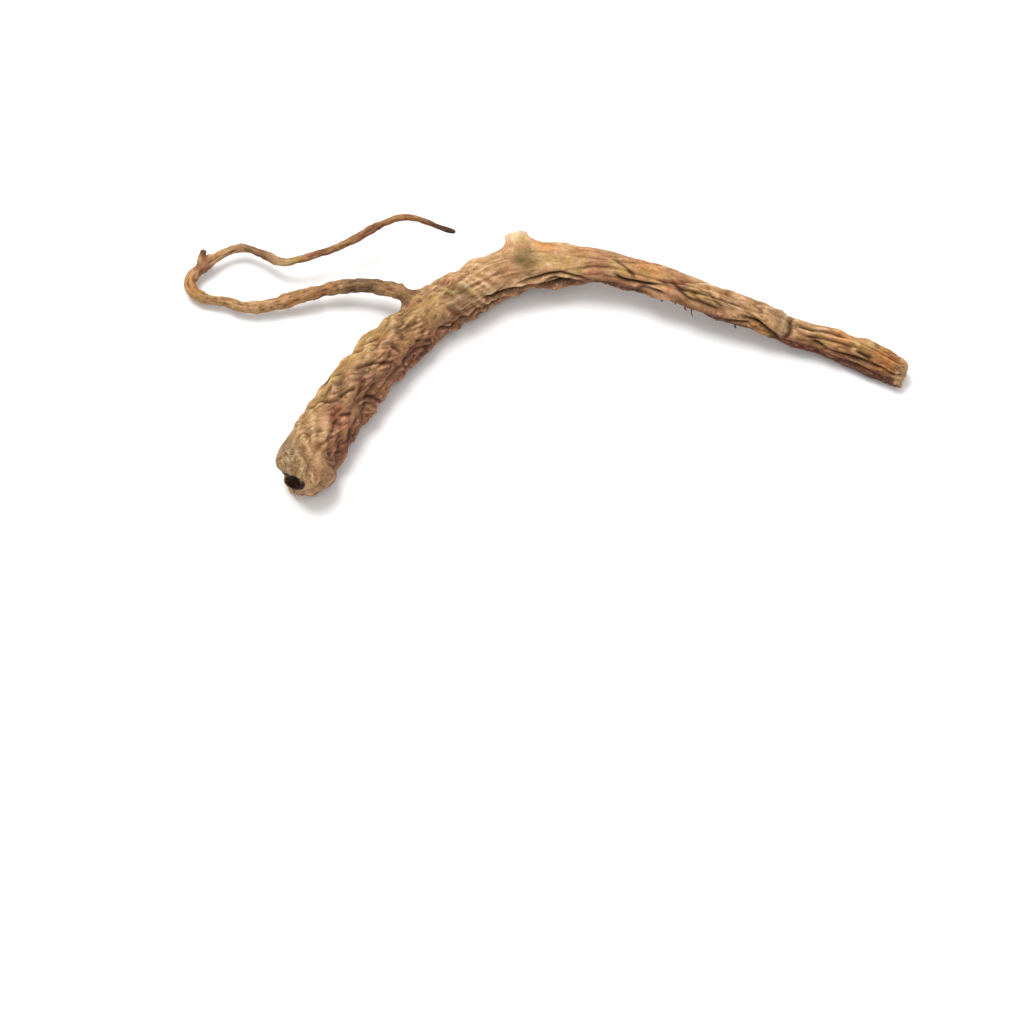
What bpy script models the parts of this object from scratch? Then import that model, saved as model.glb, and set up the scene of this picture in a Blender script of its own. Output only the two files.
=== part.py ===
# A dried dong quai root, grown as one piece: a thick tap root that arches over and thins out,
# with a broken hollow head, a stub where another root broke off, and one thin side root.
# Metres, +Z up. It lies on the plane z = 0 on three flattened low spots, with its box centred on the origin.
import bisect
import math

import bmesh
import bpy
from mathutils import Vector, noise

MM = 0.001

# Centre lines through hand-picked places, thick end first: x, y, z and radius in millimetres.
TAP_LINE = (
    (-63.2, -41.1, 6.9, 6.9),
    (-61.4, -33.1, 7.0, 7.6),
    (-56.6, -23.7, 7.0, 7.0),
    (-49.7, -12.1, 7.6, 6.8),
    (-42.8, -2.7, 7.3, 6.5),
    (-36.1, 5.1, 6.4, 6.2),
    (-28.8, 13.3, 5.9, 6.4),
    (-21.8, 17.9, 6.2, 6.6),
    (-13.8, 22.7, 6.8, 6.2),
    (-5.0, 25.9, 7.2, 5.8),
    (4.4, 26.4, 7.6, 5.3),
    (15.2, 25.9, 8.0, 4.6),
    (25.5, 22.9, 8.2, 4.4),
    (36.5, 18.9, 8.0, 4.2),
    (46.6, 14.8, 7.4, 4.2),
    (55.8, 11.5, 6.6, 4.0),
    (64.9, 7.4, 5.6, 3.4),
    (75.2, 4.7, 4.5, 3.9),
    (86.0, 0.3, 3.7, 4.1),
    (94.2, -4.5, 3.8, 3.6),
)
SIDE_LINE = (
    (-28.6, 9.1, 6.8, 4.6),
    (-31.6, 12.3, 8.2, 4.0),
    (-35.0, 15.4, 8.8, 3.1),
    (-38.4, 17.8, 8.6, 2.4),
    (-41.9, 19.4, 8.0, 2.05),
    (-47.2, 20.7, 7.0, 1.85),
    (-56.0, 20.9, 5.6, 1.8),
    (-66.7, 18.2, 4.2, 1.8),
    (-77.9, 16.2, 3.3, 1.5),
    (-84.8, 18.3, 2.9, 1.25),
    (-90.6, 19.7, 2.8, 1.55),
    (-94.2, 22.9, 2.9, 1.7),
    (-93.6, 26.5, 3.1, 1.6),
    (-90.8, 29.3, 3.4, 1.5),
    (-85.4, 33.1, 3.9, 1.1),
    (-80.6, 34.5, 4.4, 1.05),
    (-75.4, 32.3, 5.0, 1.1),
    (-70.2, 29.1, 6.0, 1.15),
    (-65.6, 29.0, 6.8, 0.95),
    (-54.6, 31.8, 8.8, 1.0),
    (-48.8, 35.0, 9.4, 1.2),
    (-41.4, 39.4, 9.6, 1.0),
    (-35.0, 40.9, 9.2, 0.85),
    (-26.0, 38.4, 7.4, 0.7),
    (-23.4, 37.9, 6.8, 0.55),
)
STUB_LINE = (
    (-4.6, 24.9, 7.4, 5.0),
    (-5.4, 27.7, 9.6, 4.5),
    (-6.4, 30.6, 12.0, 3.4),
    (-6.9, 32.3, 13.5, 2.8),
)
TWIG_LINE = (
    (-91.2, 28.7, 3.2, 1.2),
    (-91.6, 31.1, 4.2, 0.9),
    (-91.4, 33.5, 5.4, 0.75),
)

# How finely each is made: sides round, and rings along between the rounded ends.
TAP_SIDES = 36
TAP_RINGS = 104
SIDE_SIDES = 8
SIDE_RINGS = 66
STUB_SIDES = 12
STUB_RINGS = 7
TWIG_SIDES = 6
TWIG_RINGS = 3
STEPS_BETWEEN_PLACES = 24

# The broken ends, in millimetres: how long each rounded end is, how far the head's break slants
# back on its left, and how ragged the two breaks are.
HEAD_ROUNDING = 2.2
TIP_ROUNDING = 1.2
THIN_ROUNDING = 0.6
END_RINGS_AT = (12, 34, 60)
HEAD_SLANT = 5.5
HEAD_SLANT_FADES_BY = 24.0
HEAD_RAGGED = 2.6
TIP_RAGGED = 2.6
RAGGED_FADES_BY = 8.0

# The rotted hollow in the head's break.
HOLLOW_AT = (-65.3, -39.4, 8.3)
HOLLOW_SIZE = (4.0, 6.0, 2.9)
HOLLOW_TURN = (math.radians(-18), 0.0, math.radians(-30))
HOLLOW_LUMPS = 0.35

# Relief of the skin: heights and lengths in millimetres, rates as how fast it changes round the root.
LOBE_SHARE = 0.05
LOBE_TWIST = 0.035
WART_RATE = 2.1
WART_LENGTH = 6.0
WART_HEIGHT = 1.7
WART_SLOPE = 0.07
THIN_WART_SHARE = 0.45
FURROW_RATE = 1.3
FURROW_LENGTH = 20.0
FURROW_WIDTH = 0.12
FURROW_DEPTH = 0.8
FURROW_TWIST = 0.012
THICK_FURROW_SHARE = 0.8
THICK_UNTIL = 62.0
THIN_FROM = 85.0

# Marks on the tap root: millimetres from the head, and degrees from its top towards the arch's inner side.
# A crease runs between two such places and has a width and a depth; a swelling has a half length,
# a half width and a height.
CREASES = (
    (74, 52, 88, 72, 1.1, 1.5),
    (87, 70, 112, 88, 1.2, 1.8),
    (86, 42, 98, 52, 1.0, 1.2),
    (97, 50, 114, 66, 1.0, 1.6),
    (116, 44, 130, 48, 1.0, 0.8),
    (151, 48, 164, 62, 1.0, 0.9),
    (165.5, -40, 166, 66, 0.9, 0.9),
    (20, 72, 60, 78, 1.4, 0.8),
    (176, 66, 194, 50, 1.0, 0.8),
)
SWELLINGS = (
    (120, 28, 3.4, 2.4, 0.9),
    (162.5, -12, 2.2, 4.0, 0.7),
    (91, -44, 5.0, 3.6, 1.7),
    (99, -62, 7.0, 2.6, 1.1),
    (57, -62, 8.0, 4.0, 0.9),
    (30, -40, 9.0, 4.0, 0.5),
    (141, 80, 5.0, 2.2, 0.6),
    (191, 96, 4.0, 2.4, 0.7),
)

# What is lower than this, in millimetres, lies flat on the ground.
FLOOR_SNAP = 0.3

SKIN = (0.36, 0.22, 0.12, 1.0)
SKIN_ROUGHNESS = 0.8


class Line:
    """A smooth curve through places, read by the distance along it in millimetres."""

    def __init__(self, places):
        knots = [Vector(place) for place in places]
        knots = [2 * knots[0] - knots[1], *knots, 2 * knots[-1] - knots[-2]]
        self.points = []
        for before, start, end, after in zip(knots, knots[1:], knots[2:], knots[3:]):
            for step in range(STEPS_BETWEEN_PLACES):
                self.points.append(spline(before, start, end, after, step / STEPS_BETWEEN_PLACES))
        self.points.append(knots[-2])
        self.reached = [0.0]
        for start, end in zip(self.points, self.points[1:]):
            self.reached.append(self.reached[-1] + (end.xyz - start.xyz).length)
        self.length = self.reached[-1]

    def at(self, along):
        """The centre, tangent and radius at a distance, which may lie a little past either end."""
        low = bisect.bisect_right(self.reached, along) - 1
        low = max(0, min(len(self.points) - 2, low))
        start, end = self.points[low], self.points[low + 1]
        share = (along - self.reached[low]) / (self.reached[low + 1] - self.reached[low])
        centre = start.xyz.lerp(end.xyz, share)
        radius = start.w + (end.w - start.w) * min(1.0, max(0.0, share))
        return centre, (end.xyz - start.xyz).normalized(), radius

    def skin_point(self, along, angle, radius):
        """The point at an angle round the line: 0 is the top, 90 degrees the right, seen along it."""
        centre, tangent, _ = self.at(along)
        up = (Vector((0, 0, 1)) - tangent * tangent.z).normalized()
        side = tangent.cross(up)
        return centre + (up * math.cos(angle) + side * math.sin(angle)) * radius


def spline(before, start, end, after, share):
    """A Catmull-Rom curve from start to end."""
    bend = 2 * before - 5 * start + 4 * end - after
    twist = 3 * start - before - 3 * end + after
    return 0.5 * (2 * start + (end - before) * share + bend * share**2 + twist * share**3)


def fade(value, start, end):
    """0 up to start, 1 from end on, and smooth between."""
    share = min(1.0, max(0.0, (value - start) / (end - start)))
    return share * share * (3 - 2 * share)


def grain(along, angle, rate, length, seed):
    """Smooth noise that closes on itself round the root and is stretched along it."""
    return noise.noise(Vector((rate * math.cos(angle), rate * math.sin(angle), along / length + seed)))


def across_skin(along, angle, radius, mark_along, mark_degrees):
    """Millimetres along and round the skin from a mark to a place."""
    turn = (angle - math.radians(mark_degrees) + math.pi) % (2 * math.pi) - math.pi
    return Vector((along - mark_along, turn * radius))


def crease(along, angle, radius, mark):
    """The depth of one crease at a place. It runs out to nothing at its two ends."""
    start_along, start_degrees, end_along, end_degrees, width, depth = mark
    place = across_skin(along, angle, radius, start_along, start_degrees)
    run = Vector((end_along - start_along, math.radians(end_degrees - start_degrees) * radius))
    share = min(1.0, max(0.0, place.dot(run) / run.length_squared))
    off = (place - run * share).length / width
    return depth * math.exp(-off * off) * min(1.0, 0.25 + 4 * share * (1 - share))


def swelling(along, angle, radius, mark):
    """The height of one swelling at a place."""
    mark_along, mark_degrees, half_length, half_width, height = mark
    place = across_skin(along, angle, radius, mark_along, mark_degrees)
    return height * math.exp(-((place.x / half_length) ** 2) - (place.y / half_width) ** 2)


def tap_relief(along, angle, radius):
    """How far the tap root's skin stands off its plain radius, in millimetres."""
    lobes = math.cos(2 * angle + LOBE_TWIST * along) + math.cos(3 * angle - LOBE_TWIST * along + 1)
    thin = fade(along, THICK_UNTIL, THIN_FROM)
    warts = grain(along, angle + WART_SLOPE * along * (1 - thin), WART_RATE, WART_LENGTH, 3.7)
    warts *= WART_HEIGHT * (1 + (THIN_WART_SHARE - 1) * thin)
    crossing = grain(along, angle + FURROW_TWIST * along, FURROW_RATE, FURROW_LENGTH, 11.3)
    furrow_depth = FURROW_DEPTH * (THICK_FURROW_SHARE + (1 - THICK_FURROW_SHARE) * thin)
    relief = lobes * LOBE_SHARE * radius + warts - furrow_depth * math.exp(-((crossing / FURROW_WIDTH) ** 2))
    relief -= sum(crease(along, angle, radius, mark) for mark in CREASES)
    return relief + sum(swelling(along, angle, radius, mark) for mark in SWELLINGS)


def tap_surface(line, along, angle, share):
    """The place of one point of the tap root, whose share of the radius falls to 0 at the breaks' middles."""
    left = line.length - along
    shift = HEAD_SLANT * (1 - math.sin(angle)) / 2 * (1 - fade(along, 0, HEAD_SLANT_FADES_BY))
    shift += HEAD_RAGGED * grain(0, angle, 1.4, 1, 9.2) * (1 - fade(along, 0, RAGGED_FADES_BY))
    shift += TIP_RAGGED * grain(0, angle, 1.6, 1, 5.1) * (1 - fade(left, 0, RAGGED_FADES_BY))
    radius = line.at(along)[2]
    radius += tap_relief(along, angle, radius)
    point = line.skin_point(along + shift * share, angle, radius * share)
    if point.z < FLOOR_SNAP:
        point.z = 0.0
    return point


def side_surface(line, along, angle, share):
    lumps = 1 + 0.35 * grain(along, angle, 0.8, 5.0, 8.2) + 0.25 * grain(along, angle, 0.1, 3.0, 2.9)
    return line.skin_point(along, angle, line.at(along)[2] * lumps * share)


def stub_surface(line, along, angle, share):
    lumps = 1 + 0.5 * grain(along, angle, 1.2, 4.0, 6.6)
    return line.skin_point(along, angle, line.at(along)[2] * lumps * share)


def stations(length, rings, start_rounding, end_rounding):
    """Where each ring is along the line, with the share of the radius that it has."""
    start, end = [], []
    for degrees in END_RINGS_AT:
        turn = math.radians(degrees)
        start.append((start_rounding * (1 - math.cos(turn)), math.sin(turn)))
        end.insert(0, (length - end_rounding * (1 - math.cos(turn)), math.sin(turn)))
    step = (length - start_rounding - end_rounding) / (rings - 1)
    return start + [(start_rounding + step * ring, 1.0) for ring in range(rings)] + end


def tube(name, line, sides, places, surface):
    """A cylinder ringed at the places given and wrapped round a line, its surface shaped by a function."""
    bm = bmesh.new()
    bmesh.ops.create_cone(bm, cap_ends=True, segments=sides, radius1=1, radius2=1, depth=1)
    upright = [edge for edge in bm.edges if abs(edge.verts[0].co.z - edge.verts[1].co.z) > 0.5]
    bmesh.ops.subdivide_edges(bm, edges=upright, cuts=len(places) - 2, use_grid_fill=True)
    bmesh.ops.poke(bm, faces=[face for face in bm.faces if len(face.verts) == sides])
    for vert in bm.verts:
        along, share = places[round((vert.co.z + 0.5) * (len(places) - 1))]
        angle = math.atan2(vert.co.y, vert.co.x)
        on_axis = vert.co.xy.length < 0.5
        vert.co = surface(line, along, angle, 0.0 if on_axis else share) * MM
    bmesh.ops.recalc_face_normals(bm, faces=bm.faces)
    return as_object(name, bm)


def as_object(name, bm):
    mesh = bpy.data.meshes.new(name)
    bm.to_mesh(mesh)
    bm.free()
    return bpy.data.objects.new(name, mesh)


def thin_tube(name, places, sides, rings, surface):
    line = Line(places)
    return tube(name, line, sides, stations(line.length, rings, THIN_ROUNDING, THIN_ROUNDING), surface)


def hollow_cutter():
    """The rotted pocket in the head, as the solid that is cut out of it."""
    bm = bmesh.new()
    bmesh.ops.create_uvsphere(bm, u_segments=14, v_segments=9, radius=1)
    for vert in bm.verts:
        lumps = 1 + HOLLOW_LUMPS * noise.noise(vert.co * 1.7)
        vert.co = Vector([size * value * lumps for size, value in zip(HOLLOW_SIZE, vert.co)]) * MM
    cutter = as_object("head_hollow", bm)
    cutter.location = Vector(HOLLOW_AT) * MM
    cutter.rotation_euler = HOLLOW_TURN
    cutter.hide_render = True
    cutter.display_type = "WIRE"
    return cutter


def skin_material():
    skin = bpy.data.materials.new("dried_root_skin")
    skin.use_nodes = True
    shader = skin.node_tree.nodes["Principled BSDF"]
    shader.inputs["Base Color"].default_value = SKIN
    shader.inputs["Roughness"].default_value = SKIN_ROUGHNESS
    shader.inputs["Metallic"].default_value = 0.0
    return skin


def collection(name):
    made = bpy.data.collections.new(name)
    bpy.context.scene.collection.children.link(made)
    return made


def join(root, branches):
    """Fuses the branches into the root with one union, then removes their own objects."""
    union = root.modifiers.new("grown_together", "BOOLEAN")
    union.operation = "UNION"
    union.operand_type = "COLLECTION"
    union.collection = branches
    bpy.context.view_layer.update()
    graph = bpy.context.evaluated_depsgraph_get()
    joined = bpy.data.meshes.new_from_object(root.evaluated_get(graph))
    root.modifiers.remove(union)
    root.data = joined
    for branch in list(branches.objects):
        bpy.data.objects.remove(branch)
    bpy.data.collections.remove(branches)


def build():
    for old in list(bpy.data.objects):
        bpy.data.objects.remove(old)
    parts = collection("dong_quai_root")
    branches = collection("branches")
    cutters = collection("cutters")

    tap = Line(TAP_LINE)
    root = tube("root", tap, TAP_SIDES, stations(tap.length, TAP_RINGS, HEAD_ROUNDING, TIP_ROUNDING), tap_surface)
    parts.objects.link(root)
    branches.objects.link(thin_tube("side_root", SIDE_LINE, SIDE_SIDES, SIDE_RINGS, side_surface))
    branches.objects.link(thin_tube("stub", STUB_LINE, STUB_SIDES, STUB_RINGS, stub_surface))
    branches.objects.link(thin_tube("twig", TWIG_LINE, TWIG_SIDES, TWIG_RINGS, side_surface))
    join(root, branches)

    cutter = hollow_cutter()
    cutters.objects.link(cutter)
    cut = root.modifiers.new("hollow_head", "BOOLEAN")
    cut.operation = "DIFFERENCE"
    cut.object = cutter
    root.data.materials.append(skin_material())
    root.data.shade_smooth()


build()
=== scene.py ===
# The looks of a dried dong quai root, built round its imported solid: a thick tap root that arches over and
# thins out, with a broken hollow head, a stub, and one thin side root that loops back.
import math

import bmesh
import bpy
import numpy as np
from mathutils import Matrix, Vector, kdtree, noise


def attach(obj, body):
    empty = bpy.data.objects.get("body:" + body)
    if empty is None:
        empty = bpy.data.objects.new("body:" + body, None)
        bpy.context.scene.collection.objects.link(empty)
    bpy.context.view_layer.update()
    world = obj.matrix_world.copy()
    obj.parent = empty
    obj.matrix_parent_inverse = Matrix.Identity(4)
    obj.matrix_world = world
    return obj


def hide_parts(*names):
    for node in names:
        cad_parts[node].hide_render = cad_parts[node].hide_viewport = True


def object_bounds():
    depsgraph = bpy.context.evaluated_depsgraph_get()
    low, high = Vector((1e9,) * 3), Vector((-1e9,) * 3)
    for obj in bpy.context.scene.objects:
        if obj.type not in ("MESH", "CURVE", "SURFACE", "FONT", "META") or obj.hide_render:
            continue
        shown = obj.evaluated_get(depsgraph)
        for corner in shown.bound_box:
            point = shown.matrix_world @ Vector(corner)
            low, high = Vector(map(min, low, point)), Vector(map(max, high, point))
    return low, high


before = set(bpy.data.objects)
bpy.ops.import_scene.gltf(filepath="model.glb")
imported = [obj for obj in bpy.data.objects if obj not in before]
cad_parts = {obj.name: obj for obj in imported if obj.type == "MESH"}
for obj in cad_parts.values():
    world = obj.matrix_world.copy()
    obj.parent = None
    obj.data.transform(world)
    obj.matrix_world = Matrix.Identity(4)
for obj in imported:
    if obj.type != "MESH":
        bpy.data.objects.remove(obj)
cad_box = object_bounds()

# The view. The root lies on a table and is seen through a long lens, from in front and well above,
# a little over half a metre away.
VIEW_HEIGHT = math.radians(62)
VIEW_DISTANCE = 0.655
VIEW_CENTRE = Vector((-0.00825, -0.0435, 0.0))
VIEW_LENS = 90

view_line = Vector((0, math.cos(VIEW_HEIGHT), -math.sin(VIEW_HEIGHT)))
camera = bpy.data.objects.new("view", bpy.data.cameras.new("view"))
camera.data.lens = VIEW_LENS
camera.location = VIEW_CENTRE - view_line * VIEW_DISTANCE
camera.rotation_euler = (math.pi / 2 - VIEW_HEIGHT, 0, 0)
bpy.context.scene.collection.objects.link(camera)
bpy.context.scene.camera = camera

# The tap root: one thick woody root that has dried and shrunk, so its skin stands in crests and furrows.
# They run aslant on the thick stretch and along the thin one. It is wrapped round its centre line,
# in millimetres: x, y, z and radius, the broken head first.
MM = 0.001
TAP_LINE = (
    (-63.2, -41.1, 6.9, 6.9),
    (-61.4, -33.1, 7.0, 7.6),
    (-56.6, -23.7, 7.0, 7.0),
    (-49.7, -12.1, 7.6, 6.8),
    (-42.8, -2.7, 7.3, 6.5),
    (-36.1, 5.1, 6.4, 6.2),
    (-28.8, 13.3, 5.9, 6.4),
    (-21.8, 17.9, 6.2, 6.6),
    (-13.8, 22.7, 6.8, 6.2),
    (-5.0, 25.9, 7.2, 5.8),
    (4.4, 26.4, 7.6, 5.3),
    (15.2, 25.9, 8.0, 4.6),
    (25.5, 22.9, 8.2, 4.4),
    (36.5, 18.9, 8.0, 4.2),
    (46.6, 14.8, 7.4, 4.2),
    (55.8, 11.5, 6.6, 4.0),
    (64.9, 7.4, 5.6, 3.4),
    (75.2, 4.7, 4.5, 3.9),
    (86.0, 0.3, 3.7, 4.1),
    (94.2, -4.5, 3.8, 3.6),
)
TAP_SIDES = 176

# The gap between its rings, up to each distance from the head, and the most cuts that one subdivide makes.
TAP_GAPS = ((80, 0.36), (250, 0.58))
TAP_CAP_RINGS = 15
MOST_CUTS = 100
SAME_HEIGHT = 0.001

# Its two broken ends, in millimetres. The head's break slants, and both are ragged and torn. Rags have a rate
# round the end and a seed, torn fibres a size, a share and a seed, and a tooth of a break its length, and its
# middle and half width in degrees. Two distances from an end say where a form starts to fade and is gone.
HEAD_ROUNDING = 2.2
TIP_ROUNDING = 1.2
HEAD_SLANT = 5.5
HEAD_SLANT_FADES = (0, 24.0)
RAG_HEIGHT = 2.6
HEAD_RAGS = (1.4, 9.2)
TIP_RAGS = (1.6, 5.1)
RAGS_FADE = (0, 8.0)
TORN_HEIGHT = 0.7
TORN_FIBRES = ((1.1, 1.0, 15.5), (0.5, 0.6, 18.5))
TIP_TORN_SHARE = 1.5
HEAD_TORN_FADES = (1.2, 3.5)
TIP_TORN_FADES = (0.8, 3)
HEAD_TEETH = ((-2.6, -160, 30), (0.8, -100, 22), (0.8, 122, 26))
HEAD_TEETH_FADE = (0, 6)
TIP_TEETH = ((1.2, 105, 24),)
TIP_TEETH_FADE = (0.5, 5)

# Its main relief, in millimetres: lobes across, warts and long furrows. A grain is a smooth noise: its rate
# round the root, its length along it, and a seed. A place is millimetres from the head, and degrees from the
# top towards the arch's inner side. A spot is a place, a half length and a half width.
LOBE_SHARE = 0.05
LOBE_TWIST = 0.035
LOBE_TURN = 1
WART_GRAIN = (2.1, 6, 3.7)
WART_HEIGHT = 1.7
WART_SLOPE = 0.07
THIN_WART_SHARE = 0.45
LONG_FURROW_GRAIN = (1.3, 20, 11.3)
LONG_FURROW_DEPTH = 0.8
LONG_FURROW_WIDTH = 0.12
LONG_FURROW_TWIST = 0.012
THICK_FURROW_LOSS = 0.2
SMOOTH_SPOT = (104, 5, 18, 7)
SMOOTH_SPOT_LOSS = 0.7
THICK_TO_THIN = (62.0, 85.0)

# Swellings: a spot and a height.
SWELLINGS = (
    (120, 28, 3.4, 2.4, 0.9),
    (162.5, -12, 2.2, 4.0, 0.7),
    (93.5, -44, 4.0, 3.6, 1.2),
    (99, -62, 7.0, 2.6, 1.1),
    (57, -62, 8.0, 4.0, 0.9),
    (30, -40, 9.0, 4.0, 0.5),
    (7, 80, 5.0, 6.0, 1.2),
    (2, -120, 4.0, 3.6, -1.7),
    (141, 80, 5.0, 2.2, 0.6),
    (149, 98, 5.0, 2.4, 0.8),
    (191, 96, 4.0, 2.4, 0.7),
)

# Furrows: half width, depth and the places that each runs through.
FURROWS = (
    (0.45, 1.0, (88, 64), (96, 63), (99.5, 54), (102.5, 50), (106.5, 64), (110, 76)),
    (0.75, 2.3, (77.5, 58), (80, 72), (83, 78), (88, 82), (93, 89), (99, 88), (102, 84), (108, 100)),
    (0.5, 1.0, (97, 74), (101, 66), (104.5, 76), (109, 90)),
    (0.7, 1.4, (78, 90), (86, 110), (92, 114), (99, 114)),
    (0.6, 1.3, (117.5, 42), (119.5, 57), (122.5, 57), (126, 55), (130, 44)),
    (0.6, 1.0, (124, 70), (127.5, 66), (132, 66)),
    (0.5, 0.7, (116, -8), (119.5, 14), (122, 29), (123, 44)),
    (0.5, 0.8, (132.5, 8), (135, 34), (138, 52), (142, 50), (148, 54)),
    (0.6, 1.1, (151, 46), (155, 50), (158.5, 52), (162.5, 66), (164, 96)),
    (0.5, 1.1, (163.5, -58), (165, -20), (165.6, 8), (166, 38), (165, 80)),
    (0.7, 0.9, (167.5, -8), (170, 0), (172, 6)),
    (0.7, 0.9, (172, 44), (175.5, 58)),
    (0.8, 1.1, (184, 25), (186, 30), (189, 34)),
    (0.5, 0.6, (168, 34), (176.5, 24), (185, 14)),
    (0.5, 0.7, (166, -18), (173, -6), (181.5, -8)),
    (0.5, 0.8, (176, 66), (185, 60), (194, 50)),
    (0.7, 1.0, (60, 70), (66, 98), (72, 92), (77, 84)),
    (0.5, 0.7, (74, 84), (79, 100), (86, 116)),
    (0.6, 0.35, (20, 72), (34, 82), (46, 74), (60, 80)),
    (0.6, 0.9, (34, -5), (36.5, 4), (39.5, 14), (41, 30), (43.5, 46)),
    (0.6, 0.9, (32, 62), (33.5, 84), (35, 108)),
    (0.6, 0.8, (23.5, -36), (23.8, -4), (26, 12)),
    (0.5, 0.8, (26, 4), (28.5, 10), (31, 26)),
    (0.6, 0.9, (38.5, -40), (41, -34), (44, -30), (47.5, -36)),
    (0.5, 0.7, (22, 26), (25.5, 55)),
    (0.5, 0.7, (46.5, 14), (47.5, 46)),
)
# Furrows are painted dark, more so the deeper they are: the creases' own brown with painted shade.
LEAST_FURROW_DARKNESS = 0.7
DARKER_BY_DEPTH = 0.5
FURROW_DARKNESS_FALL = 1.6

# Raised cords: half width, height and the places that each runs through.
CORDS = (
    (0.55, 0.6, (88, 74), (93, 76), (98, 72), (102.5, 64), (107, 84)),
    (0.6, 0.6, (84, 96), (91, 102), (98, 102), (103, 104)),
    (0.5, 0.55, (60.5, -50), (61.5, -37), (64, -21), (68, -2), (72, 8)),
    (0.5, 0.5, (57, -1), (61, 0), (64.5, 2), (69, 4)),
    (0.5, 0.5, (52, 0), (57, 2), (61, -4), (64, -24)),
    (0.5, 0.45, (56, 26), (61, 27), (67, 31), (73, 34)),
    (0.5, 0.45, (46, 4), (51, -1), (55.5, 3), (60.5, 12), (66, 18)),
    (0.5, 0.5, (71, -20), (75, -20), (80, -31), (85, -22), (90, -24)),
    (0.5, 0.45, (72, 8), (78, -4), (84, -8), (89, -4)),
    (0.5, 0.45, (75, 12), (79, 18), (84.5, 30), (90.5, 36), (97, 36)),
    (0.6, 0.55, (124, 96), (128, 92), (132, 80), (136, 78)),
    (0.5, 0.45, (168.5, 8), (175, 10), (182, 4), (190, 2)),
    (0.5, 0.5, (167, 70), (173, 74), (181, 70), (190, 74)),
    (0.8, 0.55, (150, 74), (155, 76), (160, 84), (163.5, 94)),
    (0.5, 0.55, (160.3, -60), (162, -38), (163.4, -12), (164, 24), (163.4, 52)),
    (0.5, 0.5, (136, 22), (142, 24), (149, 20), (156, 26)),
    (0.5, 0.45, (134, -22), (141, -20), (149, -26), (157, -24)),
)

# A furrow or a cord is worked out within a few of its widths, and rises from its two ends.
MARK_REACH = 3
MARK_END = 0.3
MARK_RISE = 5

# Its fine skin: plump folds with sharp creases between. For each kind: how wide and how long a fold is, how
# sharp its crease is, a seed, and how high the folds stand at each distance from the head.
FOLDS = (
    (2.1, 6.5, 0.12, 41.7, ((0, 0.12), (10, 0.28), (50, 0.33), (60, 0.32), (78, 0.26), (100, 0.2),
                            (135, 0.28), (165, 0.32), (199, 0.34))),
    (1.1, 5.0, 0.18, 53.1, ((0, 0.1), (12, 0.18), (50, 0.22), (60, 0.2), (84, 0.15), (112, 0.12),
                            (199, 0.18))),
    (0.65, 2.4, 0.28, 67.9, ((0, 0.07), (12, 0.1), (60, 0.11), (199, 0.13))),
)
FOLD_SHOULDER = 0.35
FOLD_PLUMPNESS = 0.7
FOLD_MIDDLE = 0.6
FULL_CREASE_HEIGHT = 0.25
LONGER_PAST = 58.0
LONGER_SHARE = 0.25

# The folds slant on the thick stretch and waver, a height and a grain each. They stand unevenly high, and
# they are low on the calm spots.
SLANT_PER_MM = 0.06
SLANT_UNTIL = 64.0
WAVERING = ((0.3, 0.9, 11, 31.4), (0.06, 2.4, 4.5, 33.4))
UNEVEN_GRAIN = (1.1, 7, 35.9)
UNEVENNESS = 2.4
UNEVEN_LIMITS = (0.3, 1.8)
CALM_LOSS = 0.85
CALM_SPOTS = (
    (91.5, -22, 7, 8),
    (72, 30, 5, 4),
    (79.5, 2, 4.5, 4.5),
    (104, 0, 9, 6),
    (119.5, 32, 3.2, 2.4),
    (126, -10, 8, 5),
    (162.5, -20, 2.2, 8),
    (5, -35, 5, 8),
    (30, -85, 34, 4),
)

# Sharp crests stand where the thick stretch ends, cracks run across the folds, pits are sunk between them,
# and the low side is crumbly. Crests, cracks and crumbs have a width, a length and a seed.
CREST = (1.0, 8.0, 57.5)
CREST_HEIGHTS = ((48, 0.0), (58, 0.36), (70, 0.3), (78, 0.0))
CRACK = (2.2, 0.75, 71.3)
CRACK_SHARPNESS = 9
CRACK_DEPTH = 0.07
CRACK_DARKNESS = 0.3
PIT_GAP = 2.3
PIT_STRETCH = 1.3
PIT_SEED = 77.7
PIT_DRAW = 7.3
PIT_SHARE = 0.4
PIT_RADIUS = 0.45
PIT_DEPTH = 0.3
PITS_FROM = (8, 14)
CRUMB = (1.1, 1.3, 91.3)
CRUMB_HEIGHT = 0.4
CRUMB_COVER = 0.6
CRUMB_CONTRAST = 3
CRUMB_PATCHES = (0.8, 8, 95.3)
CRUMBS_FROM = (10, 16)
LOW_SIDE = (70, 95)

# Fine rings lie round the crown, where leaf stalks sat. A low point lies flat on the table.
CROWN_SPOT = (3, -40, 4.5, 7)
CROWN_RING = 0.68
CROWN_RING_HEIGHT = 0.15
CROWN_WOBBLE = 1.6
CROWN_WOBBLE_GRAIN = (2.2, 5, 83.1)
FLOOR_SNAP = 0.3


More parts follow.
